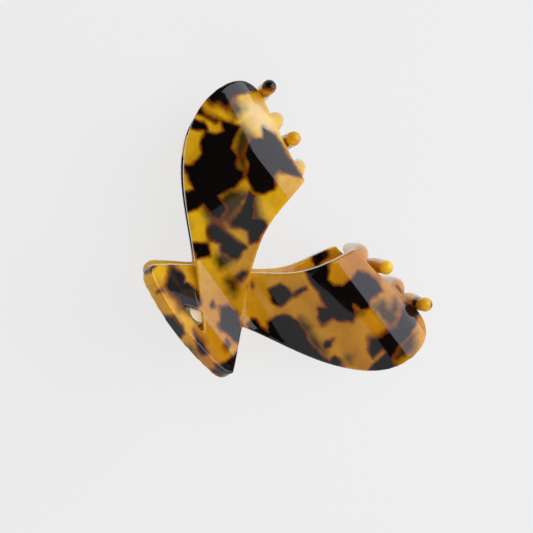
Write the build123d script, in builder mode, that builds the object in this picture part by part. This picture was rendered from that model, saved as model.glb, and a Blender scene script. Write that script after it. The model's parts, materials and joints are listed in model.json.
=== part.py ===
from build123d import *
from math import acos, asin, atan2, cos, degrees, radians, sin, tan
import os

# Claw hair clip: two ribbon-shaped acetate halves with teeth, a riveted leaf hinge and a spring.
# Row frame: X along the hinge, +Y towards the teeth, +Z up. The clip lies on its back half.
# Half frame: the same axes with its origin on the mid plane where a half's two ribbons cross,
# and Z pointing out of the clip. The back half is the half frame turned half a turn about Y.

# ---- driving dimensions, mm ----
sheet = 3.7  # thickness of the acetate
bow_radius = 1500.0  # each half is bowed very slightly along X
rim_top = (-21.9, 20.0)  # Y and Z of the tab's free edge, outer face
mid_height = 20.0  # height of the mid plane above the ground
crossing_y = -4.775  # row Y of the ribbons' crossing point
hinge_y = -9.5  # hinge axis in the half frame, on the mid plane

# section of a half: the tab's slope, a bend at the waist, a rise, the belly's arc and the jaw edge
belly_centre = (17.26, 1.05)  # Y and Z
belly_radius = 16.0  # outer face
jaw_slope_down = 43.0  # degrees, the sheet's fall at the jaw edge
jaw_end_y = 29.9
over_rise = 22.4  # degrees, the top ribbon between waist and belly
over_bend = 15.0  # radius of its bend at the waist
under_rise = 35.0
under_bend = 9.5

# plan of one wing and of the tail, right-hand side
crossing = (0.0, 0.0)
notch_edge = [crossing, (2.3, 2.9), (6.8, 9.6), (9.5, 18.0), (10.9, 25.0)]
jaw_edge = [(10.9, 25.0), (18.2, 26.1), (26.9, 27.8), (34.7, 29.5)]
lobe_edge = [
    (34.7, 29.5),
    (40.9, 27.2),
    (42.5, 21.0),
    (40.9, 13.0),
    (32.8, 3.0),
    (17.6, -6.1),
    (10.1, -10.2),
]
tail_edge = [(10.1, -10.2), (12.6, -13.2), (15.1, -16.2), (18.6, -22.0)]
loop_top = (0.0, -16.2)
loop_corner = (4.7, -19.0)
tab_slope = 47.5  # degrees between a tab and the mid plane
tab_half_width = 17.2
tab_corner = 4.0
tab_length = 12.0  # beyond this distance from the rim the tab is narrower than its end
rim_rise = 2.9  # how much further up the rim ends at its corners

# teeth: tapered fingers on an arc about the hinge
front_teeth = [-27.6, -14.2, 14.2, 27.6]
back_teeth = [-34.2, -20.0, 21.2, 35.4]
tooth_root_radius = 2.5
tooth_tip_radius = 1.85
tooth_ball_radius = 1.9  # a little fuller than the finger it ends
tooth_reach = 13.0  # how far a tip stands past the mid plane
tooth_tip_out = 2.4  # how far outside the jaw edge a tip ends
tooth_bend_z = 7.5  # where the finger leaves the line of the sheet, at X = 0
tooth_lean = 2.1  # how far outside the jaw edge a finger crosses the mid plane
tooth_inset = 2.0  # how far inside the jaw edge a finger starts
tooth_root_half_width = 2.8
tooth_root_half_height = 1.2
tooth_steps = 3
jaw_slope = 0.187  # how far the jaw edge moves out in Y with X

# hinge
leaf = 0.8
pin_radius = 1.0
running_gap = 0.05
knuckle_radius = 2.2
back_knuckle = (5.2, 8.0)  # X range of the outer knuckles, each side
front_knuckle = (3.2, 4.9)  # X range of the inner knuckles, each side
leaf_half_width = 8.0
tongue_half_width = 3.5
pad_radius = 3.9
pad_reach = 12.9  # hinge axis to the pad's middle
rivet_radius = 0.9
rivet_head_radius = 1.5
rivet_head = 0.6
rivet_rest = 0.12  # a head bridges the hollow of the leaf by this much
rivet_depth = 2.2
rivet_spot = (6.4, -5.2)  # X and Y of a rivet's seat
rivet_head_slope = 20  # degrees
medallion_radius = 2.9
medallion_thick = 2.0
medallion_chamfer = 0.2
pocket_gap = 0.15
pocket_depth = 3.0
leaf_front = -3.2  # Y of the plate's front edge in the half frame
web_width = 2.0
tick_ring_radius = 2.05
tick_count = 24
tick_length = 0.5
tick_width = 0.16
tick_depth = 0.15
pin_head_radius = 1.5
pin_head_slope = 25  # degrees
pin_stub = 0.7
pin_gap = 0.1

# torsion spring
wire = 0.8
coil_radius = 1.8
coil_turns = 7
coil_pitch = 0.9  # the turns touch, with their pitch as a share of the wire
leg_length = 8.4
leg_lean = 136.5  # degrees, direction of a leg's end seen from the hinge axis

wing_span = 2 * max(point[0] for point in lobe_edge)
tall = 60.0  # a length that reaches past the whole clip
bow_margin = 2.0  # the bowed sheet starts this far outside the wings

bow_axis = Axis((0, 0, -bow_radius), (0, 1, 0))
bow_half_angle = asin((wing_span / 2 + bow_margin) / bow_radius)
bow_start = Plane(
    (-bow_radius * sin(bow_half_angle), 0, bow_radius * cos(bow_half_angle) - bow_radius),
    x_dir=(0, 1, 0),
    z_dir=(cos(bow_half_angle), 0, sin(bow_half_angle)),
)
front_frame = Plane((0, crossing_y, mid_height))
back_frame = Plane((0, crossing_y, mid_height), x_dir=(-1, 0, 0), z_dir=(0, 0, -1))
pin_axis = Axis((0, crossing_y + hinge_y, mid_height), (1, 0, 0))
tab_plane = Plane(
    (0, rim_top[0], rim_top[1]),
    x_dir=(1, 0, 0),
    z_dir=(0, sin(radians(tab_slope)), cos(radians(tab_slope))),
)


def mirrored(points, side):
    """Plan points for a side: 1 as given, -1 mirrored."""
    return [(side * x, y) for x, y in points]


def bow_drop(x):
    """How much lower the bowed sheet is at X than in the middle."""
    return bow_radius - (bow_radius**2 - x**2) ** 0.5


def meeting(point, angle, other_point, other_angle):
    """Where two lines meet, each given by a (Y, Z) point and an angle in degrees."""
    run = (cos(radians(angle)), sin(radians(angle)))
    other = (cos(radians(other_angle)), sin(radians(other_angle)))
    gap = (other_point[0] - point[0], other_point[1] - point[1])
    share = (gap[0] * other[1] - gap[1] * other[0]) / (run[0] * other[1] - run[1] * other[0])
    return point[0] + share * run[0], point[1] + share * run[1]


def belly_point(angle):
    """Point of the belly's arc where the face has a slope in degrees."""
    lean = radians(angle)
    return belly_centre[0] - belly_radius * sin(lean), belly_centre[1] + belly_radius * cos(lean)


def face_line(rise, bend):
    """Outer face of a ribbon in the YZ plane, from the rim to the jaw edge."""
    jaw_point = belly_point(-jaw_slope_down)
    jaw_end_z = jaw_point[1] - (jaw_end_y - jaw_point[0]) * tan(radians(jaw_slope_down))
    waist = meeting(rim_top, -tab_slope, belly_point(rise), rise)
    crest = meeting(belly_point(rise), rise, jaw_point, -jaw_slope_down)
    with BuildLine() as face:
        FilletPolyline(rim_top, waist, crest, (jaw_end_y, jaw_end_z), radius=(bend, belly_radius))
    return face.wires()[0]


over_face = face_line(over_rise, over_bend)
under_face = face_line(under_rise, under_bend)


def line_below(face, depth):
    """Line at a depth below a face line."""
    if depth == 0:
        return face
    return face.offset_2d(depth, side=Side.RIGHT, closed=False)


def bowed_sheet(face, depth, thickness, plan):
    """Sheet at a depth below an outer face line, bowed along X and cut to a plan."""
    top = line_below(face, depth)
    low = line_below(face, depth + thickness)
    with BuildPart() as piece:
        with BuildSketch(bow_start):
            with BuildLine():
                add(top)
                Line(top @ 1, low @ 1)
                add(low)
                Line(low @ 0, top @ 0)
            make_face()
        revolve(axis=bow_axis, revolution_arc=degrees(2 * bow_half_angle))
        with BuildSketch(Plane.XY):
            add(plan)
        extrude(amount=tall, mode=Mode.INTERSECT)
    return piece.part


def ribbon_plan(side):
    """One ribbon: the wing on a side, across the waist, to the other side of the tail."""
    rim_x = -side * tail_edge[-1][0]
    loop_x = -side * loop_corner[0]
    with BuildSketch() as plan:
        with BuildLine():
            Spline(*mirrored(notch_edge, side))
            Spline(*mirrored(jaw_edge, side))
            Spline(*mirrored(lobe_edge, side))
            Polyline(
                (side * lobe_edge[-1][0], lobe_edge[-1][1]),
                loop_top,
                (loop_x, loop_corner[1]),
                (loop_x, -tall),
                (rim_x, -tall),
                (rim_x, tail_edge[-1][1]),
            )
            Spline(*mirrored(tail_edge, -side))
            Line((-side * tail_edge[0][0], tail_edge[0][1]), crossing)
        make_face()
    return plan.sketch


def rim_plan():
    """The band between the loop hole and the rim."""
    with BuildSketch() as plan:
        with Locations((0, (loop_corner[1] - tall) / 2)):
            Rectangle(2 * loop_corner[0] + 1, loop_corner[1] + tall)
    return plan.sketch


def sheet_at(y, depth):
    """Z and slope, at Y, of the lower ribbon's line at a depth below its outer face."""
    line = line_below(under_face, depth)
    upright = Edge.make_line((y, -tall), (y, tall))
    spot = line.intersect(upright)[0]
    along = line.tangent_at(Vector(spot))
    return spot.Y, atan2(along.Y, along.X)


def tooth(x):
    """One tapered finger of a half, from inside the sheet's edge to past the mid plane."""
    edge_y = jaw_edge[0][1] + jaw_slope * (abs(x) - jaw_edge[0][0])
    root_y = edge_y - tooth_inset
    root_z, slope = sheet_at(root_y, sheet / 2)
    drop = bow_drop(x)
    tip = (edge_y + tooth_tip_out, -tooth_reach)
    path = Edge.make_spline([
        Vector(0, root_y, root_z - drop),
        Vector(0, edge_y + 0.3 * tooth_lean, tooth_bend_z - drop),
        Vector(0, edge_y + tooth_lean, 0),
        Vector(0, *tip),
    ])
    with BuildPart() as finger:
        for step in range(tooth_steps + 1):
            share = step / tooth_steps
            spot = path @ share
            along = path % share
            section = Plane((x, spot.Y, spot.Z), x_dir=(1, 0, 0), z_dir=(0, along.Y, along.Z))
            with BuildSketch(section):
                if step == 0:
                    Ellipse(tooth_root_half_width, tooth_root_half_height)
                else:
                    Circle(tooth_root_radius + (tooth_tip_radius - tooth_root_radius) * share)
        loft()
        with Locations((x, *tip)):
            Sphere(tooth_ball_radius)
    return finger.part


def tab_trim():
    """Block whose end is the tab's rim: gently curved, with rounded corners."""
    with BuildPart() as trim:
        with BuildSketch(tab_plane.offset(-tall)):
            with BuildLine():
                ThreePointArc((-tab_half_width, rim_rise), (0, 0), (tab_half_width, rim_rise))
                Polyline(
                    (tab_half_width, rim_rise),
                    (tab_half_width, tab_length),
                    (tall, tab_length),
                    (tall, 2 * tall),
                    (-tall, 2 * tall),
                    (-tall, tab_length),
                    (-tab_half_width, tab_length),
                    (-tab_half_width, rim_rise),
                )
            make_face()
        extrude(amount=2 * tall)
        corners = trim.edges().filter_by(Axis(tab_plane.origin, tab_plane.z_dir))
        fillet(corners.sort_by(Axis(tab_plane.origin, tab_plane.y_dir))[:2], tab_corner)
    return trim.part


def pad_frame(height):
    """Plane parallel to the tab under the loop hole, at a height above the inner face."""
    lean = radians(180 - tab_slope)
    spot = Vector(0, hinge_y + pad_reach * cos(lean), pad_reach * sin(lean))
    return Plane(spot + tab_plane.z_dir * height, x_dir=(1, 0, 0), z_dir=tab_plane.z_dir)


def rivet_lines():
    """Planes at the two rivets' seats on the inner face, facing out of the clip."""
    seat_z, slope = sheet_at(rivet_spot[1], sheet)
    seat_z -= bow_drop(rivet_spot[0])
    outward = (0, -sin(slope), cos(slope))
    return [
        Plane((side * rivet_spot[0], rivet_spot[1], seat_z), x_dir=(1, 0, 0), z_dir=outward)
        for side in (-1, 1)
    ]


def half_shell(tooth_xs):
    """A whole half in the half frame."""
    over = bowed_sheet(over_face, 0, sheet, ribbon_plan(-1))
    under = bowed_sheet(under_face, 0, sheet, ribbon_plan(1))
    rim = bowed_sheet(under_face, 0, sheet, rim_plan())
    trim = tab_trim()
    fingers = [tooth(x) for x in tooth_xs]
    with BuildPart() as half:
        add(over)
        add(under)
        add(rim)
        add(trim, mode=Mode.INTERSECT)
        for finger in fingers:
            add(finger)
        with BuildSketch(pad_frame(medallion_thick + pocket_gap)):
            Circle(medallion_radius + pocket_gap)
        extrude(amount=-pocket_depth, mode=Mode.SUBTRACT)
        for seat in rivet_lines():
            with BuildSketch(seat.offset(rivet_depth)):
                Circle(rivet_radius)
            extrude(amount=-2 * rivet_depth, mode=Mode.SUBTRACT)
    return half.part


def leaf_plan():
    """Flat plan of a hinge leaf: plate under the waist, tongue and round pad."""
    pad = pad_frame(0).origin
    with BuildSketch() as plan:
        with Locations((0, (leaf_front + hinge_y) / 2 - 0.5)):
            Rectangle(2 * leaf_half_width, leaf_front - hinge_y + 1)
        with Locations((0, (hinge_y + pad.Y) / 2)):
            Rectangle(2 * tongue_half_width, hinge_y - pad.Y)
    return plan.sketch


def hinge_leaf(knuckles, bore):
    """Leaf of a hinge in the half frame, with a pair of knuckles round the axis."""
    plate = bowed_sheet(under_face, sheet, leaf, leaf_plan())
    low, high = knuckles
    seats = rivet_lines()
    web_top = sheet_at(hinge_y, sheet + leaf / 2)[0]
    with BuildPart() as piece:
        add(plate)
        with BuildSketch(pad_frame(0)):
            Circle(pad_radius)
        extrude(amount=-leaf)
        for side in (-1, 1):
            middle = side * (low + high) / 2
            with BuildSketch(Plane((middle, hinge_y, 0), x_dir=(0, 1, 0), z_dir=(1, 0, 0))):
                Circle(knuckle_radius)
                with Locations((0, web_top / 2)):
                    Rectangle(web_width, web_top)
            extrude(amount=(high - low) / 2, both=True)
        with BuildSketch(Plane((0, hinge_y, 0), x_dir=(0, 1, 0), z_dir=(1, 0, 0))):
            Circle(bore)
        extrude(amount=leaf_half_width + 1, both=True, mode=Mode.SUBTRACT)
        for seat in seats:
            with BuildSketch(seat):
                Circle(rivet_radius)
            extrude(amount=2 * leaf, both=True, mode=Mode.SUBTRACT)
        with BuildSketch(pad_frame(0)):
            Circle(medallion_radius)
        extrude(amount=tall, mode=Mode.SUBTRACT)
    return piece.part


def leaf_rivets():
    """The two rivets that hold a leaf, in the half frame."""
    with BuildPart() as rivets:
        for seat in rivet_lines():
            with BuildSketch(seat.offset(-leaf - rivet_head)):
                Circle(rivet_radius)
            extrude(amount=rivet_depth + leaf + rivet_head)
            with BuildSketch(seat.offset(-leaf - rivet_rest)):
                Circle(rivet_head_radius)
            extrude(amount=-rivet_head, taper=rivet_head_slope)
    return rivets.part


def medallion():
    """Round inlay on the leaf's pad, in the half frame, with a plain ring of radial ticks."""
    with BuildPart() as disc:
        with BuildSketch(pad_frame(0)):
            Circle(medallion_radius)
        extrude(amount=medallion_thick)
        with BuildSketch(pad_frame(medallion_thick)):
            with PolarLocations(tick_ring_radius, tick_count):
                Rectangle(tick_length, tick_width)
        extrude(amount=-tick_depth, mode=Mode.SUBTRACT)
        rings = disc.edges().filter_by(GeomType.CIRCLE)
        chamfer(rings.group_by(Axis(tab_plane.origin, tab_plane.z_dir))[-1], medallion_chamfer)
    return disc.part


def placed(part, frame):
    """A part of the half frame, set in one of the clip's two halves."""
    with BuildPart() as piece:
        with Locations(frame):
            add(part)
    return piece.part


def spring_point(x, reach, angle, side):
    """Point of the row frame seen from the hinge axis, above (side 1) or below (side -1)."""
    return Vector(
        x,
        crossing_y + hinge_y + reach * cos(angle),
        mid_height + side * reach * sin(angle),
    )


def spring():
    """Closed coil round the pin with one leg along each leaf, in the row frame."""
    pitch = wire * coil_pitch
    lean = radians(leg_lean)
    touch = lean + acos(coil_radius / leg_length)
    with BuildPart() as coil:
        for turn in range(coil_turns):
            with BuildSketch(Plane((0, crossing_y + hinge_y, mid_height))):
                with Locations(((turn - (coil_turns - 1) / 2) * pitch, coil_radius)):
                    Circle(wire / 2)
            revolve(axis=pin_axis)
        for side in (-1, 1):
            leg_x = side * (coil_turns / 2) * pitch
            end = spring_point(leg_x, leg_length, lean, side)
            start = spring_point(leg_x, coil_radius, touch, side)
            along = (end - start).normalized()
            with BuildSketch(Plane(start - along * wire, z_dir=along)):
                Circle(wire / 2)
            extrude(amount=(end - start).length + wire)
    return coil.part


os.makedirs("parts", exist_ok=True)
halves = [
    ("front", front_frame, front_teeth, front_knuckle, pin_radius + running_gap),
    ("back", back_frame, back_teeth, back_knuckle, pin_radius),
]
for name, frame, teeth_xs, knuckles, bore in halves:
    pieces = {
        "shell": half_shell(teeth_xs),
        "hinge_leaf": hinge_leaf(knuckles, bore),
        "leaf_rivets": leaf_rivets(),
        "medallion": medallion(),
    }
    for piece_name, piece in pieces.items():
        finished = placed(piece, frame)
        finished.label = f"{name}_{piece_name}"
        export_step(finished, f"parts/{finished.label}.step")

with BuildPart() as hinge_pin:
    with BuildSketch(Plane((0, crossing_y + hinge_y, mid_height), x_dir=(0, 1, 0), z_dir=(1, 0, 0))):
        Circle(pin_radius)
    extrude(amount=leaf_half_width + pin_stub, both=True)
    for side in (-1, 1):
        seat = (side * (leaf_half_width + pin_gap), crossing_y + hinge_y, mid_height)
        with BuildSketch(Plane(seat, x_dir=(0, 1, 0), z_dir=(side, 0, 0))):
            Circle(pin_head_radius)
        extrude(amount=pin_stub - pin_gap, taper=pin_head_slope)
hinge_pin.part.label = "hinge_pin"
export_step(hinge_pin.part, "parts/hinge_pin.step")

torsion_spring = spring()
torsion_spring.label = "torsion_spring"
export_step(torsion_spring, "parts/torsion_spring.step")
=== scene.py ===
import json
from math import acos, cos, pi, radians, sin

import bpy
import numpy as np
from mathutils import Matrix, Vector


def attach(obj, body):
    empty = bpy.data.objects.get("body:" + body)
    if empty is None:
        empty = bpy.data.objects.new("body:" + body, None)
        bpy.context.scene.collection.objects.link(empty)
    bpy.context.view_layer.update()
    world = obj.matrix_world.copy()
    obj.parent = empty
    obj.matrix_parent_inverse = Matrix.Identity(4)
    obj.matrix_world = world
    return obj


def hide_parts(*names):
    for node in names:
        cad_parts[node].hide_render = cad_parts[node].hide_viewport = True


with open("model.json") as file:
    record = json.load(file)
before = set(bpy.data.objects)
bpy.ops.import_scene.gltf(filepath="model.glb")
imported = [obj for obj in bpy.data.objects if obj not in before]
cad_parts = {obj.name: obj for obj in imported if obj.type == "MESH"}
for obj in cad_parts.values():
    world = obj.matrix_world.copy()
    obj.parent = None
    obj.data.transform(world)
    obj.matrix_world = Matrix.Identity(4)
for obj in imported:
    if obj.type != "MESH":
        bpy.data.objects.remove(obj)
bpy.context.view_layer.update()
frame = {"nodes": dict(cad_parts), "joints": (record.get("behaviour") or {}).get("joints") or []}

MM = 0.001
scene = bpy.context.scene
nodes = frame["nodes"]
hinge = frame["joints"][0]
HINGE = Vector(hinge["pos_m"])

# The half frame: its origin on the mid plane, where a half's two ribbons cross.
HALF_ORIGIN = Vector((0.0, HINGE.y + 9.5 * MM, HINGE.z))


# ------------------------------------------------------------------ camera
CAMERA_DISTANCE = 256 * MM
CAMERA_AIM = HALF_ORIGIN + Vector((0.6, 4.0, 15.5)) * MM
CAMERA_LEAN = Vector((-0.117, -0.068, 1.0)).normalized()  # from the aim to the camera
CAMERA_RIGHT = Vector((0.602, 0.799, 0.0))  # the picture's right, not yet square to the lean
CAMERA_LENS = 68.0
SENSOR_WIDTH = 36.0
CLIP_NEAR, CLIP_FAR = 0.01, 10.0  # m


def make_camera():
    """The photograph's view, from nearly straight above."""
    data = bpy.data.cameras.new("camera")
    data.lens = CAMERA_LENS
    data.sensor_width = SENSOR_WIDTH
    data.clip_start = CLIP_NEAR
    data.clip_end = CLIP_FAR
    camera = bpy.data.objects.new("camera", data)
    scene.collection.objects.link(camera)
    back = CAMERA_LEAN
    right = (CAMERA_RIGHT - back * CAMERA_RIGHT.dot(back)).normalized()
    up = back.cross(right)
    camera.matrix_world = Matrix([
        [right.x, up.x, back.x, CAMERA_AIM.x + back.x * CAMERA_DISTANCE],
        [right.y, up.y, back.y, CAMERA_AIM.y + back.y * CAMERA_DISTANCE],
        [right.z, up.z, back.z, CAMERA_AIM.z + back.z * CAMERA_DISTANCE],
        [0.0, 0.0, 0.0, 1.0],
    ])
    scene.camera = camera


# ------------------------------------------------------------------ tortoiseshell pattern
# Dark patches of the sheet as outlines in the half frame's plan, in mm, at PATTERN_LEVEL.
WING_PATCHES = [
    # left wing
    [(-30.8, 20.4), (-28.2, 15.5), (-25, 15.2), (-23, 13.5), (-21.5, 14.6), (-20.2, 13.5), (-19.8, 10),
     (-20.6, 5.5), (-16.5, 5), (-15.5, 2), (-17.5, 1), (-21.3, 1.2), (-21.3, -1), (-22.2, -3.8),
     (-26.6, -0.8), (-25.4, 1.4), (-28.5, 2), (-32, 3), (-30.6, 5), (-31.2, 8.5), (-33.8, 10),
     (-35.3, 12.8), (-33, 14), (-32.3, 16.5), (-35, 17.5)],
    [(-26.8, 21), (-25, 23.3), (-27.6, 25), (-24, 26.6), (-11.5, 25.6), (-12.5, 24.4), (-16.2, 21.8),
     (-15.8, 20.2), (-13, 18), (-13.9, 15), (-15.5, 13.3), (-20, 14.4), (-22, 16.6), (-24.9, 17.2),
     (-26, 19.5)],
    [(-43.5, 17.5), (-43.5, 24), (-40.5, 29), (-36.3, 29.8), (-37.2, 26.5), (-38.2, 23.5), (-36.6, 21.4),
     (-36.6, 20.4), (-38.8, 19.7), (-39.6, 18)],
    [(-41, 15.1), (-38, 15.3), (-35, 17.2), (-35.4, 16), (-38.5, 14.6), (-40.2, 13.2)],
    [(-39.8, 11.8), (-37, 13.8), (-35, 13.2), (-36, 12.3), (-38, 10.4), (-39, 10.6)],
    [(-15.5, -7.4), (-12.4, -4), (-9.6, -5.5), (-11, -8.4), (-13, -8.2)],
    [(-16, 0.5), (-11.8, 1.8), (-8, 2.8), (-5.6, 3.6), (-5.3, 1.6), (-4.6, -0.5), (-6, -1.6), (-9.2, -2.6),
     (-10.5, -1.6), (-12.6, -3.1), (-14.5, -2.6), (-16.2, -1.2)],
    [(-16.3, 12.5), (-14.8, 13.3), (-13.5, 11.5), (-11.5, 10.5), (-10.7, 9.2), (-9.3, 10.6), (-8, 11.4),
     (-6.7, 10.8), (-5.2, 7), (-6, 4.6), (-8.6, 6.2), (-10.3, 5.6), (-12.2, 3), (-13.5, 4.5), (-14, 7.5),
     (-15, 10)],
    [(-1.2, -3.6), (-1.4, -1.2), (-0.4, -0.4), (0.4, -2.4), (0.5, -3), (-0.2, -3.9)],
    # right wing
    [(6.3, 1.2), (7.3, 4.8), (9.6, 5.8), (11.2, 5.8), (11.5, 9.8), (12.4, 9.6), (11.8, 5.6), (12.2, 1.2),
     (10, 0), (8.3, 0.9)],
    [(10, 18.4), (8.6, 14.5), (7.9, 12.2), (11.5, 11.5), (15, 11.8), (17, 11), (19.2, 10.8), (18, 9),
     (20.6, 7.3), (22.4, 7.4), (22.2, 10.5), (23.5, 11), (25, 13), (26, 14.2), (24.8, 16), (22.5, 17),
     (25, 17.8), (25.8, 19.6), (24.4, 21), (24.6, 25.2), (21.5, 25.7), (18, 24.5), (16.6, 23), (17.3, 20.5),
     (17.1, 17.5), (15.5, 15.8), (13.5, 15.2), (12.3, 16.5)],
    [(26.6, 29), (30.6, 29.6), (32, 26.2), (33, 24.6), (34, 22.5), (33.8, 20.5), (33.5, 17.5), (32.1, 15),
     (34.5, 13), (37.2, 12.6), (36.9, 14.5), (36.7, 16.2), (38, 16.5), (38.3, 14.5), (38.5, 11.5),
     (39.2, 9.6), (42.5, 14), (42.5, 16.4), (40, 16.5), (38.9, 19.5), (38.2, 24), (37.2, 27), (35.5, 30)],
    [(13.2, -4.2), (13.4, -1.5), (14.2, 0.5), (16, 1.9), (18, 2.5), (21.5, 2.5), (24, 2), (26, 1.6),
     (27, 2.4), (30, 2.2), (31.6, 3), (31, 5.2), (32.5, 5.6), (35.5, 4.6), (35, 2.5), (28, -3), (22, -6),
     (15, -8.5), (10.4, -9), (10.1, -7), (11, -6.2), (13, -6.5), (15.5, -5.6), (14.5, -4.6)],
    [(26.5, 5.5), (27.1, 7.2), (28.4, 5.4), (27.8, 3.8), (26.8, 4.4)],
    [(2.4, -1.1), (3.2, -1.2), (3.8, -1.9), (3, -2)],
]
TAIL_PATCHES = [
    [(-13.5, -14.8), (-10.6, -13.9), (-9, -13.9), (-8, -14.5), (-7, -13.9), (-4, -13.6), (-1, -14.6),
     (-0.5, -16.5), (-3, -18.8), (-5.5, -18), (-8, -18.5), (-10, -18.4), (-11.5, -16.8)],
    [(-10.2, -19.3), (-9.1, -19.4), (-10, -21)],
    [(-18.5, -18.5), (-15.8, -17.4), (-15.2, -19), (-15.6, -20.8), (-18.5, -21.8)],
    [(-5.8, -25), (-3.5, -22), (-2.5, -21), (0.5, -20.9), (2.3, -21.5), (2.6, -23), (1.4, -26)],
    [(14, -19.8), (14.7, -17), (14.4, -14.6), (16.5, -14.6), (19.5, -19), (18.8, -20.8), (15, -22),
     (13.6, -21.8), (15, -20.6), (13, -20.3)],
    [(2.3, -11.2), (3.5, -9.2), (6, -8.8), (8.5, -9.4), (10.6, -10.3), (13.4, -13), (10, -13.4),
     (7.5, -14.5), (6, -14.2), (5, -12.8)],
    [(0.2, -11.8), (1.4, -12.3), (1.3, -13.2), (0.6, -12.8)],
    [(10.2, -14.7), (12, -14.9), (12.6, -16.2), (11.2, -15.8)],
    [(2.8, -19.2), (5, -19.1), (8, -19.4), (10, -20), (9.5, -21.3), (8, -21.2), (6, -20.5)],
]
# Patches that lie deep in the sheet and show as soft, olive shadows.
DEEP_PATCHES = [
    [(-37.5, 23.8), (-33.8, 23.8), (-33.4, 20.5), (-37.5, 21.3)],
    [(-19.5, 9), (-16, 12.5), (-13.5, 4), (-16, 0.5), (-20, 3)],
    [(-9, -2), (-5, -1), (-5.5, -5.5), (-8, -5)],
    [(17.5, 3.8), (20.5, 4.5), (23, 2.8), (20, 1)],
    [(32.6, 7.6), (33.6, 8.4), (34.4, 7.4), (33.4, 6.8)],
    [(-2.2, -5), (-0.3, -3.8), (1.2, -5), (2.6, -6.8), (0.5, -6.6), (-2, -6)],
    [(4.6, -24.5), (5.6, -22.3), (8.6, -22.6), (9.4, -24.6)],
    [(28.4, 27), (31.8, 25.6), (31.4, 22.6), (29.6, 23.6)],
    [(-30.4, 21), (-26, 21.4), (-24.4, 18), (-19.6, 14.8), (-21, 13.4), (-25.4, 15.4), (-29.6, 18.4)],
    [(-22, 5), (-16.5, 5.5), (-14.6, 3.2), (-12, 0.6), (-16, -0.6), (-21.6, 0.8)],
    [(-14.5, 13.4), (-9.4, 11), (-8.8, 8.4), (-13, 7.6)],
    [(14.5, 14.6), (25.5, 17.6), (25.4, 14), (19, 12.6)],
    [(26, 20.6), (33.4, 21), (33.6, 24.4), (26.8, 23.8)],
    [(38.6, 16.4), (41.6, 17), (41.8, 23), (39, 25.6), (37.8, 22)],
    [(21.6, 3.6), (28.4, 4.2), (30, 2.4), (24, 1.6)],
]
# A milky cloud in the front half's amber.
CREAM_PATCHES = [
    [(-35, 25), (-33.5, 28), (-27, 28.5), (-24.5, 26.5), (-25.5, 24.5), (-28.5, 23), (-32, 23)],
]
CREAM_EDGE = 1.6  # mm, the cloud fades out over this much on each side of its outline
CREAM_SHARE = 0.38  # how pale the cloud is in its middle
# The back half has the wing patches that stay off its notch, and these.
BACK_PATCHES = [
    [(-7.5, 19.7), (-7.9, 21.9), (-9.1, 23), (-11.5, 22.4), (-12.2, 17.7), (-9.5, 18.5)],
    [(-26.8, 21), (-25, 23.3), (-27.6, 25), (-24, 26.6), (-18.6, 26), (-17.4, 22), (-18.6, 18),
     (-24.9, 17.2)],
    [(1.2, 4.0), (-1.6, 3.8), (-0.6, 1.4), (1.0, 0.8)],
    [(-13, -16), (-9, -14), (-6.5, -16), (-8, -19.5), (-12, -20)],
    [(-3, -21), (2, -20.4), (4.5, -22.5), (1, -25), (-4, -24)],
    [(2.5, -10.5), (6, -9), (8, -12), (5, -14.5), (2.8, -13.2)],
]
# Dark balls inside the back half's teeth: centre and radius in its half frame, in mm.
BACK_BLOBS = [
    ((36.0, 32.6, -13.9), 1.9),
    ((21.2, 30.8, -9.4), 3.1),
    ((-33.2, 31.2, -9.5), 1.9),
    ((-35.4, 33.4, -14.2), 0.9),
]


CLEAR_OF_PATCHES = 9.0  # mm, a distance at which a patch no longer shows
FAR = 1e9  # mm


def signed_distance(points, outline):
    """Distance of plan points to an outline's edge, negative inside."""
    corners = np.array(outline, float)
    nearest = np.full(len(points), FAR)
    inside = np.zeros(len(points), bool)
    for start, end in zip(corners, np.roll(corners, -1, 0)):
        edge = end - start
        rel = points - start
        share = np.clip(rel @ edge / (edge @ edge), 0, 1)
        nearest = np.minimum(nearest, np.linalg.norm(rel - share[:, None] * edge, axis=1))
        crosses = (start[1] > points[:, 1]) != (end[1] > points[:, 1])
        with np.errstate(divide="ignore", invalid="ignore"):
            at_x = start[0] + (points[:, 1] - start[1]) * edge[0] / edge[1]
        inside ^= crosses & (points[:, 0] < at_x)
    return np.where(inside, -nearest, nearest)


def patch_field(points, outlines):
    """Distance of plan points to the nearest of several outlines."""
    field = np.full(len(points), CLEAR_OF_PATCHES)
    for outline in outlines:
        field = np.minimum(field, signed_distance(points, outline))
    return field


def blob_field(points, blobs):
    """Distance of points in the half frame to the nearest of several balls."""
    field = np.full(len(points), CLEAR_OF_PATCHES)
    for centre, radius in blobs:
        field = np.minimum(field, np.linalg.norm(points - np.array(centre), axis=1) - radius)
    return field


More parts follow.
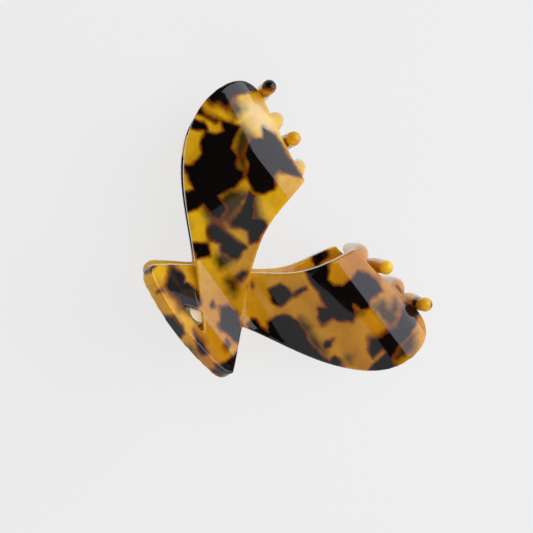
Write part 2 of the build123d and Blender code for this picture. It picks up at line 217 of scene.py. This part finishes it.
# ------------------------------------------------------------------ node helpers
class Nodes:
    """A material's node tree, with short calls for the nodes that this script uses."""

    def __init__(self, name):
        self.material = bpy.data.materials.new(name)
        self.material.use_nodes = True
        self.tree = self.material.node_tree
        self.shader = self.tree.nodes["Principled BSDF"]

    def add(self, kind, inputs=None, **settings):
        node = self.tree.nodes.new("ShaderNode" + kind)
        for key, value in settings.items():
            setattr(node, key, value)
        for key, value in (inputs or {}).items():
            self.put(node.inputs[key], value)
        return node

    def put(self, socket, value):
        if isinstance(value, bpy.types.NodeSocket):
            self.tree.links.new(value, socket)
        else:
            socket.default_value = value

    def math(self, operation, a, b=0.0, clamp=False):
        return self.add("Math", {0: a, 1: b}, operation=operation, use_clamp=clamp).outputs[0]

    def mix(self, factor, a, b):
        node = self.add("Mix", data_type="RGBA")
        self.put(node.inputs[0], factor)
        self.put(node.inputs[6], a)
        self.put(node.inputs[7], b)
        return node.outputs[2]

    def noise(self, scale, detail=2.0, rough=0.5, where=None):
        inputs = {"Scale": scale, "Detail": detail, "Roughness": rough}
        if where is not None:
            inputs["Vector"] = where
        return self.add("TexNoise", inputs).outputs[0]

    def span(self, value, low, high, to_low=0.0, to_high=1.0):
        return self.add(
            "MapRange", {0: value, 1: low, 2: high, 3: to_low, 4: to_high}, clamp=True
        ).outputs[0]


# Colours of the acetate. The amber has two, from its yellowest place to its brownest.
AMBER_PALE = ((0.84, 0.52, 0.014, 1), (0.62, 0.29, 0.006, 1))
AMBER_FULL = ((0.62, 0.30, 0.007, 1), (0.46, 0.17, 0.004, 1))
AMBER_STREAK = (0.45, 0.17, 0.004, 1)
DEEP_SHADOW = (0.022, 0.012, 0.004, 1)
PATCH_FRINGE = (0.22, 0.042, 0.003, 1)
PATCH_CORE = (0.0050, 0.0032, 0.003, 1)
# Pale cream for the cream cloud, and for painted highlight and glow on the front half's teeth.
CREAM_AND_TOOTH_SHEEN = (0.86, 0.78, 0.60, 1)
ACETATE_IOR = 1.49
EDGE_WOBBLE = 1.4  # mm, how ragged a patch's outline is
SHADOW_WOBBLE = 2.0
FRONT_SCATTER = 2.6 * MM
BACK_SCATTER = 8.0 * MM


def acetate_material(name, start, end, scatter):
    """Polished tortoiseshell acetate: amber with angular dark patches and red-brown fringes.

    The amber turns browner from start to end along X, and light goes in as far as scatter.
    """
    n = Nodes(name)
    place = n.add("TexCoord").outputs["Object"]
    patch = n.add("Attribute", attribute_name="patch").outputs["Fac"]
    deep = n.add("Attribute", attribute_name="deep").outputs["Fac"]
    clear = n.add("Attribute", attribute_name="clear").outputs["Fac"]
    wobble = n.math("SUBTRACT", n.noise(420, 3.0, 0.55, place), 0.5)
    edge = n.math("ADD", patch, n.math("MULTIPLY", wobble, EDGE_WOBBLE))
    cloud = n.noise(85, 3.0, 0.5, place)
    streak = n.noise(260, 4.0, 0.6, place)
    along = n.add("SeparateXYZ", {0: place}).outputs["X"]
    browner = n.span(along, start, end)
    pale = n.mix(browner, *AMBER_PALE)
    full = n.mix(browner, *AMBER_FULL)
    amber = n.mix(n.span(cloud, 0.35, 0.65), full, pale)
    amber = n.mix(n.math("MULTIPLY", n.span(streak, 0.5, 0.75), 0.5), amber, AMBER_STREAK)
    shadow = n.span(n.math("ADD", deep, n.math("MULTIPLY", wobble, SHADOW_WOBBLE)), 1.6, -0.9)
    amber = n.mix(n.math("MULTIPLY", shadow, 0.94), amber, DEEP_SHADOW)
    softness = n.span(n.noise(110, 1.0, 0.4, place), 0.50, 0.72, 0.28, 0.6)
    depth = n.math("DIVIDE", edge, softness)
    fringe = n.span(depth, 2.8, 0.4)
    toned = n.mix(n.math("MULTIPLY", fringe, 0.9), amber, PATCH_FRINGE)
    core = n.span(depth, 0.6, -1.2)
    colour = n.mix(core, toned, PATCH_CORE)
    # The clear attribute pales the colour: the cream cloud, and painted highlight and glow on the front
    # teeth.
    colour = n.mix(clear, colour, CREAM_AND_TOOTH_SHEEN)
    s = n.shader
    n.put(s.inputs["Base Color"], colour)
    n.put(s.inputs["Roughness"], n.span(n.noise(700, 2.0, 0.5, place), 0.3, 0.7, 0.03, 0.07))
    s.inputs["IOR"].default_value = ACETATE_IOR
    s.inputs["Subsurface Weight"].default_value = 0.6
    s.inputs["Subsurface Radius"].default_value = (1.0, 0.45, 0.06)
    s.inputs["Subsurface Scale"].default_value = scatter
    swell = n.noise(160, 1.0, 0.4, place)
    ripple = n.add("Bump", {"Strength": 0.05, "Distance": 0.4 * MM, "Height": swell})
    n.put(s.inputs["Normal"], ripple.outputs[0])
    return n.material


ROUGHNESS_SPREAD = 0.16  # from the smoothest to the roughest place of a metal


def metal_material(name, light, dark, rough):
    """Plated or drawn metal with faint tumbling marks and tone that turns darker at random."""
    n = Nodes(name)
    place = n.add("TexCoord").outputs["Object"]
    marks = n.noise(1800, 4.0, 0.6, place)
    cloud = n.noise(300, 2.0, 0.5, place)
    n.put(n.shader.inputs["Base Color"], n.mix(n.span(cloud, 0.3, 0.75), light, dark))
    n.shader.inputs["Metallic"].default_value = 1.0
    n.put(n.shader.inputs["Roughness"], n.span(marks, 0.3, 0.7, rough, rough + ROUGHNESS_SPREAD))
    bump = n.add("Bump", {"Strength": 0.05, "Distance": 0.03 * MM, "Height": marks})
    n.put(n.shader.inputs["Normal"], bump.outputs[0])
    return n.material


TAB_SLOPE = radians(47.5)
INLAY_TOP = 2.0 * MM  # height of the inlay's face over the hinge axis, square to the tab
TICK_DEPTH = 0.15 * MM
ENAMEL_PALE = (0.92, 0.87, 0.68, 1)
ENAMEL_DEEP = (0.84, 0.77, 0.55, 1)
# Painted shade in the engraved ticks.
TICK_PAINTED_SHADE = (0.30, 0.24, 0.12, 1)
# Painted glow: the enamel gives off light in place of light carried to it through the acetate.
INLAY_PAINTED_GLOW = 0.35


def inlay_material():
    """Cream enamel with a painted glow, and ticks darkened with painted shade where the face is engraved.
    """
    n = Nodes("cream_enamel")
    place = n.add("TexCoord").outputs["Object"]
    split = n.add("SeparateXYZ", {0: place})
    rise = n.math("ABSOLUTE", n.math("SUBTRACT", split.outputs["Z"], HINGE.z))
    reach = n.math("SUBTRACT", split.outputs["Y"], HINGE.y)
    along_y = n.math("MULTIPLY", reach, sin(TAB_SLOPE))
    along_z = n.math("MULTIPLY", rise, cos(TAB_SLOPE))
    height = n.math("ADD", along_y, along_z)
    # Painted shade: darker where the face sinks into the engraved ticks.
    tick_shade = n.span(height, INLAY_TOP - 0.2 * TICK_DEPTH, INLAY_TOP - 0.9 * TICK_DEPTH)
    cream = n.mix(n.noise(900, 3.0, 0.5, place), ENAMEL_PALE, ENAMEL_DEEP)
    colour = n.mix(tick_shade, cream, TICK_PAINTED_SHADE)
    n.put(n.shader.inputs["Base Color"], colour)
    n.put(n.shader.inputs["Roughness"], n.span(n.noise(2400, 2.0, 0.5, place), 0.3, 0.7, 0.22, 0.34))
    # Painted glow, though the inlay is no lamp.
    n.put(n.shader.inputs["Emission Color"], colour)
    n.shader.inputs["Emission Strength"].default_value = INLAY_PAINTED_GLOW
    return n.material


# ------------------------------------------------------------------ acetate halves
VOXEL = 0.36 * MM
SMOOTH_PASSES = 12
SMOOTH_PULL = 0.5
SMOOTH_PUSH = -0.515  # gives back what the pull shrinks
PATTERN_SKEW = 0.11  # the patches lean outwards as they rise through the sheet
PATTERN_LEVEL = 8.5  # mm above the mid plane, where an outline has its own place
# Painted highlight and glow: the front half's teeth are paled from this height down, over this depth.
TOOTH_SHEEN_TOP = 6.5  # mm above the mid plane, the front half's teeth pale from here down
TOOTH_SHEEN_DEPTH = 13.0  # mm, over which they turn wholly pale
JAW_START = 24.0  # mm, the teeth lie beyond this Y
NOTCH_HALF = 14.0  # mm, the back half leaves out wing patches nearer to the middle than this


def add_object(name, mesh):
    piece = bpy.data.objects.new(name, mesh)
    scene.collection.objects.link(piece)
    return piece


def applied(piece):
    """Replace a piece's mesh with what its modifiers make."""
    graph = bpy.context.evaluated_depsgraph_get()
    mesh = bpy.data.meshes.new_from_object(piece.evaluated_get(graph))
    piece.modifiers.clear()
    piece.data = mesh
    return mesh


def vertex_places(mesh):
    place = np.empty(len(mesh.vertices) * 3)
    mesh.vertices.foreach_get("co", place)
    return place.reshape(-1, 3)


def round_edges(mesh):
    """Smooth a mesh without shrinking it: each pull to the neighbours is followed by a push."""
    ends = np.empty(len(mesh.edges) * 2, int)
    mesh.edges.foreach_get("vertices", ends)
    first, second = ends.reshape(-1, 2).T
    count = len(mesh.vertices)
    degree = np.bincount(ends, minlength=count)[:, None]
    place = vertex_places(mesh)
    for factor in (SMOOTH_PULL, SMOOTH_PUSH) * SMOOTH_PASSES:
        total = np.stack([
            np.bincount(first, place[second, axis], count)
            + np.bincount(second, place[first, axis], count)
            for axis in range(3)
        ], axis=1)
        place += factor * (total / degree - place)
    mesh.vertices.foreach_set("co", place.ravel())
    mesh.update()


def add_field(mesh, name, values):
    mesh.attributes.new(name, "FLOAT", "POINT").data.foreach_set("value", values)


def clear_of_notch(outline):
    """Whether an outline stays away from the notch between the wings."""
    return all(abs(x) > NOTCH_HALF or y < 0 for x, y in outline)


def front_fields(place, plan):
    """The front half's patches, and how pale its amber is: a cream cloud, and painted highlight and glow on
    the teeth.
    """
    patch = patch_field(plan, WING_PATCHES + TAIL_PATCHES)
    # Painted highlight and glow: the front half's teeth turn pale below a height.
    teeth = np.clip((TOOTH_SHEEN_TOP - place[:, 2]) / TOOTH_SHEEN_DEPTH, 0, 1) * (place[:, 1] > JAW_START)
    cream = np.clip(0.5 - patch_field(plan, CREAM_PATCHES) / (2 * CREAM_EDGE), 0, 1)
    return patch, np.maximum(teeth, CREAM_SHARE * cream * (patch > 0))


def back_fields(place, plan):
    """The back half's patches, and how pale its amber is, which is not at all."""
    wings = [outline for outline in WING_PATCHES if clear_of_notch(outline)]
    patch = patch_field(plan, wings + BACK_PATCHES)
    patch = np.where(place[:, 2] < 0, CLEAR_OF_PATCHES, patch)
    return np.minimum(patch, blob_field(place, BACK_BLOBS)), np.zeros(len(place))


def tumbled_half(name, node, body, side, material):
    """A half with edges rounded as tumbled acetate is; side is 1 in front, -1 at the back."""
    piece = add_object(name, nodes[node].data.copy())
    remesh = piece.modifiers.new("remesh", "REMESH")
    remesh.mode = "VOXEL"
    remesh.voxel_size = VOXEL
    mesh = applied(piece)
    round_edges(mesh)
    place = (vertex_places(mesh) - np.array(HALF_ORIGIN)) / MM * (side, 1, side)
    plan = place[:, :2] + PATTERN_SKEW * (place[:, 2:] - PATTERN_LEVEL)
    patch, clear = front_fields(place, plan) if side > 0 else back_fields(place, plan)
    add_field(mesh, "patch", patch)
    add_field(mesh, "deep", patch_field(plan * (side, 1), DEEP_PATCHES))  # mirrored at the back
    # clear holds the cream cloud and the painted highlight and glow on the front teeth.
    add_field(mesh, "clear", clear)
    mesh.polygons.foreach_set("use_smooth", [True] * len(mesh.polygons))
    mesh.materials.clear()
    mesh.materials.append(material)
    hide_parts(node)
    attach(piece, body)


# ------------------------------------------------------------------ torsion spring
WIRE_RADIUS = 0.4 * MM
FRONT_WIRE_RADIUS = 0.98 * WIRE_RADIUS  # thinner, so that the overlapping ends share no surface
COIL_RADIUS = 1.8 * MM
COIL_HALF = 2.52 * MM  # from the coil's middle to a leg, along the pin
LEG_LENGTH = 8.4 * MM  # from the hinge axis to a leg's tip
LEG_LEAN = radians(136.5)  # direction of a leg's end, seen along the pin
COIL_STEPS = 28  # points in a turn
MEETING_ANGLE = 7 * pi  # where the two ends meet, at the middle of the coil
COIL_OVERLAP = radians(60)  # the two ends of the coil keep covering each other as the clip opens


def spring_end(name, body, side, wire, material):
    """Half of the coil with its leg: side 1 follows the front half, -1 the back half."""
    touch = LEG_LEAN + acos(COIL_RADIUS / LEG_LENGTH)
    sweep = MEETING_ANGLE - touch  # from a leg to the middle of the coil
    steps = round((sweep + COIL_OVERLAP) / (2 * pi) * COIL_STEPS)
    tip = (side * COIL_HALF, LEG_LENGTH * cos(LEG_LEAN), side * LEG_LENGTH * sin(LEG_LEAN))
    points = [tip]
    for step in range(steps + 1):
        turned = (sweep + COIL_OVERLAP) * step / steps
        angle = touch + turned
        along = side * COIL_HALF * (1 - turned / sweep)
        points.append((along, COIL_RADIUS * cos(angle), side * COIL_RADIUS * sin(angle)))
    curve = bpy.data.curves.new(name, "CURVE")
    curve.dimensions = "3D"
    curve.bevel_depth = wire
    curve.bevel_resolution = 4
    curve.use_fill_caps = True
    spline = curve.splines.new("POLY")
    spline.points.add(len(points) - 1)
    for target, point in zip(spline.points, points):
        target.co = (*(HINGE + Vector(point)), 1.0)
    curve.materials.append(material)
    piece = add_object(name, curve)
    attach(piece, body)
    return piece


# ------------------------------------------------------------------ light and floor
BOX_DISTANCE = 0.65  # m, from the clip to the nearest corner given below
BOX_GLOW = 6.9  # W for each square metre of the soft box by the jaws
TAB_GLOW = 0.27 * BOX_GLOW
COOL = (0.96, 0.97, 1.08)
WHITE = (1.0, 1.0, 1.0)
# For each soft box: its three directions as soft_box() takes them, width, height, glow and colour.
SOFT_BOXES = {
    "jaw_box": (
        (-0.05, 0.29, 0.96), (-0.22, 0.82, 0.53), (0.30, 0.38, 0.88), 0.95, 0.95, BOX_GLOW, COOL
    ),
    "tab_box": (
        (0.29, -0.05, 0.96), (0.13, -0.68, 0.72), (0.70, -0.05, 0.71), 0.60, 0.74, TAB_GLOW, WHITE
    ),
    "tab_strip": (
        (0.04, -0.25, 0.97), (-0.01, -0.65, 0.76), (0.12, -0.25, 0.96), 0.07, 0.40, TAB_GLOW, WHITE
    ),
}
FILL_SIZE = 0.8
FILL_HEIGHT = 0.88
FILL_GLOW = 6.2  # W for each square metre


def add_light(name, width, height, glow, across, down, centre):
    """A rectangular lamp that faces the clip from a place given from HALF_ORIGIN."""
    data = bpy.data.lights.new(name, "AREA")
    data.shape = "RECTANGLE"
    data.size, data.size_y = width, height
    data.energy = glow * width * height
    lamp = bpy.data.objects.new(name, data)
    scene.collection.objects.link(lamp)
    away = across.cross(down)
    if away.dot(centre) < 0:
        across, away = -across, -away
    place = HALF_ORIGIN + centre
    lamp.matrix_world = Matrix([
        [across[row], down[row], away[row], place[row]] for row in range(3)
    ] + [[0.0, 0.0, 0.0, 1.0]])
    return lamp


def soft_box(name, corner, side_mark, top_mark, width, height, glow, colour):
    """A soft box set out by directions seen from the clip.

    They are its corner, a mark on the edge that runs down from there, and a mark on its top edge.
    """
    start = Vector(corner).normalized() * BOX_DISTANCE
    down = (Vector(side_mark).normalized() * BOX_DISTANCE - start).normalized()
    across = down.cross(start.cross(Vector(top_mark))).normalized()
    if across.dot(Vector(top_mark).normalized() - start.normalized()) < 0:
        across = -across
    centre = start + across * (width / 2) + down * (height / 2)
    add_light(name, width, height, glow, across, down, centre).data.color = colour


def make_fill():
    """A soft light from straight above, which shows in no reflection."""
    across, down = Vector((1, 0, 0)), Vector((0, 1, 0))
    overhead = Vector((0, 0, FILL_HEIGHT))
    fill = add_light("fill_box", FILL_SIZE, FILL_SIZE, FILL_GLOW, across, down, overhead)
    fill.visible_glossy = False


FLOOR_HALF = 1.5
FLOOR_GLOW = 0.72
FLOOR_DARK = (0.14, 0.14, 0.14, 1)
FLOOR_PALE = (0.15, 0.15, 0.15, 1)


def make_floor():
    """Pale paper that gives off some light of its own."""
    half = FLOOR_HALF
    mesh = bpy.data.meshes.new("floor")
    corners = [(-half, -half, 0), (half, -half, 0), (half, half, 0), (-half, half, 0)]
    mesh.from_pydata(corners, [], [(0, 1, 2, 3)])
    floor = add_object("floor", mesh)
    n = Nodes("floor_paper")
    grain = n.noise(900, 3.0, 0.5, n.add("TexCoord").outputs["Object"])
    n.put(n.shader.inputs["Base Color"], n.mix(grain, FLOOR_DARK, FLOOR_PALE))
    n.shader.inputs["Roughness"].default_value = 0.9
    n.shader.inputs["Specular IOR Level"].default_value = 0.0
    n.shader.inputs["Emission Color"].default_value = (1, 1, 1, 1)
    n.shader.inputs["Emission Strength"].default_value = FLOOR_GLOW
    mesh.materials.append(n.material)


# The studio's glow, from the height at which it starts to fall to the height where it ends.
HORIZON_TOP, DARK_FROM = 0.12, 0.36  # Z of the direction
HORIZON_GLOW, DARK_GLOW = 0.75, 0.005


def make_world():
    """A studio that is pale round the horizon and dim overhead."""
    world = bpy.data.worlds.new("studio")
    world.use_nodes = True
    tree = world.node_tree
    place = tree.nodes.new("ShaderNodeTexCoord")
    split = tree.nodes.new("ShaderNodeSeparateXYZ")
    level = tree.nodes.new("ShaderNodeMapRange")
    tree.links.new(place.outputs["Generated"], split.inputs[0])
    tree.links.new(split.outputs["Z"], level.inputs[0])
    for socket, value in zip(level.inputs[1:5], (HORIZON_TOP, DARK_FROM, HORIZON_GLOW, DARK_GLOW)):
        socket.default_value = value
    background = tree.nodes["Background"]
    background.inputs[0].default_value = (*WHITE, 1)
    tree.links.new(level.outputs[0], background.inputs[1])
    scene.world = world


make_camera()
make_floor()
make_world()
scene.view_settings.view_transform = "Standard"

front_sheet = acetate_material("front_acetate", -10 * MM, 14 * MM, FRONT_SCATTER)
# Painted glow: the back half keeps its yellowest amber almost everywhere, in place of light that shines
# through the sheet; it also scatters light further.
back_sheet_painted_glow = acetate_material("back_acetate_painted_glow", 40 * MM, 60 * MM, BACK_SCATTER)
tumbled_half("front_half", "front_shell", "front", 1, front_sheet)
tumbled_half("back_half", "back_shell", "root", -1, back_sheet_painted_glow)
gilt = metal_material("gilt_steel", (0.86, 0.66, 0.32, 1), (0.72, 0.52, 0.22, 1), 0.32)
inlay = inlay_material()
steel = metal_material("spring_steel", (0.72, 0.71, 0.68, 1), (0.58, 0.57, 0.55, 1), 0.24)
spring_root = spring_end("spring_root", "root", -1, WIRE_RADIUS, steel)
spring_end("spring_front", "front", 1, FRONT_WIRE_RADIUS, steel)
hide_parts("torsion_spring")
for node, material in (
    ("front_hinge_leaf", gilt),
    ("back_hinge_leaf", gilt),
    ("front_leaf_rivets", gilt),
    ("back_leaf_rivets", gilt),
    ("front_medallion", inlay),
    ("back_medallion", inlay),
    ("hinge_pin", steel),
):
    nodes[node].data.materials.clear()
    nodes[node].data.materials.append(material)

for name, box in SOFT_BOXES.items():
    soft_box(name, *box)
make_fill()
